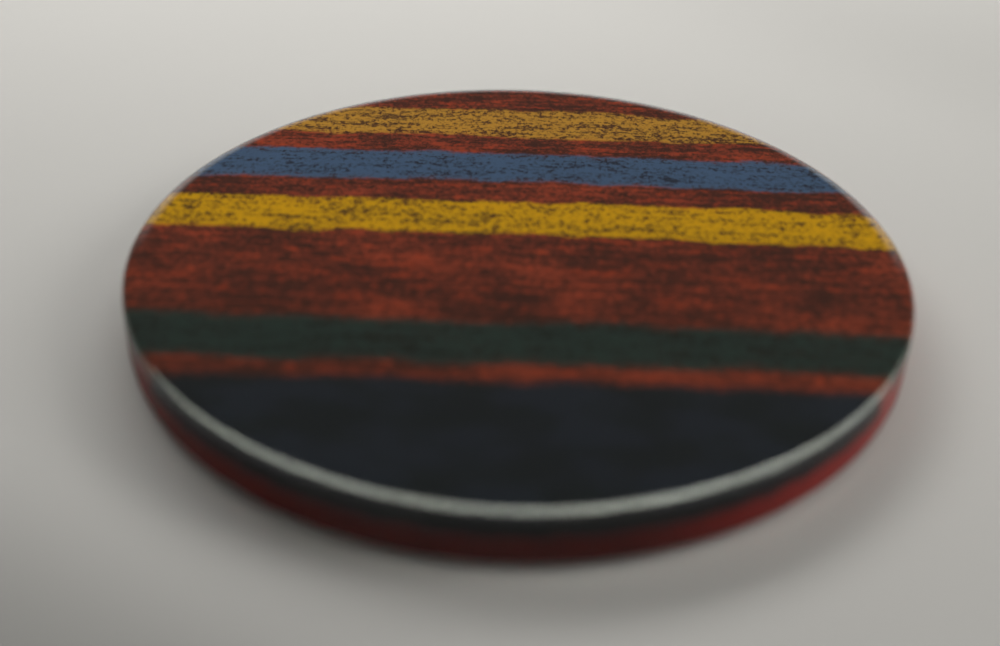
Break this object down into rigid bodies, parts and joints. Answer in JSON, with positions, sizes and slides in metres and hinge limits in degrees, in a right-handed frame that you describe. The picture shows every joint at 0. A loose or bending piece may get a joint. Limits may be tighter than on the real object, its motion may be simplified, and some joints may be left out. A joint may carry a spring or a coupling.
{
  "type": "pocket mirror",
  "caption": "Thin round pocket mirror: a printed face under clear film, wrapped over a crimped tinplate shell, with a ringed glass mirror on the back.",
  "frame": {"origin": "centre of the resting plane, which is the flat of the wrapped rim round the back", "axes": "+Z is the axis of the disc, out of the printed face; +Y is the top of the printed picture; +X is its right"},
  "size_m": [0.076, 0.076, 0.007],
  "materials": {
    "film": "clear polyester film, glossy",
    "print": "coated paper with an all-over abstract print",
    "shell": "drawn tinplate",
    "ring": "pressed tinplate, bright",
    "glass": "float glass, ground edge",
    "silvering": "silver with grey backing paint",
    "board": "greyboard, matt"
  },
  "bodies": {
    "root": {"clear_film": "film", "printed_sheet": "print", "front_shell": "shell", "back_ring": "ring", "mirror_glass": "glass", "mirror_coating": "silvering", "filler_board": "board"}
  },
  "joints": []
}
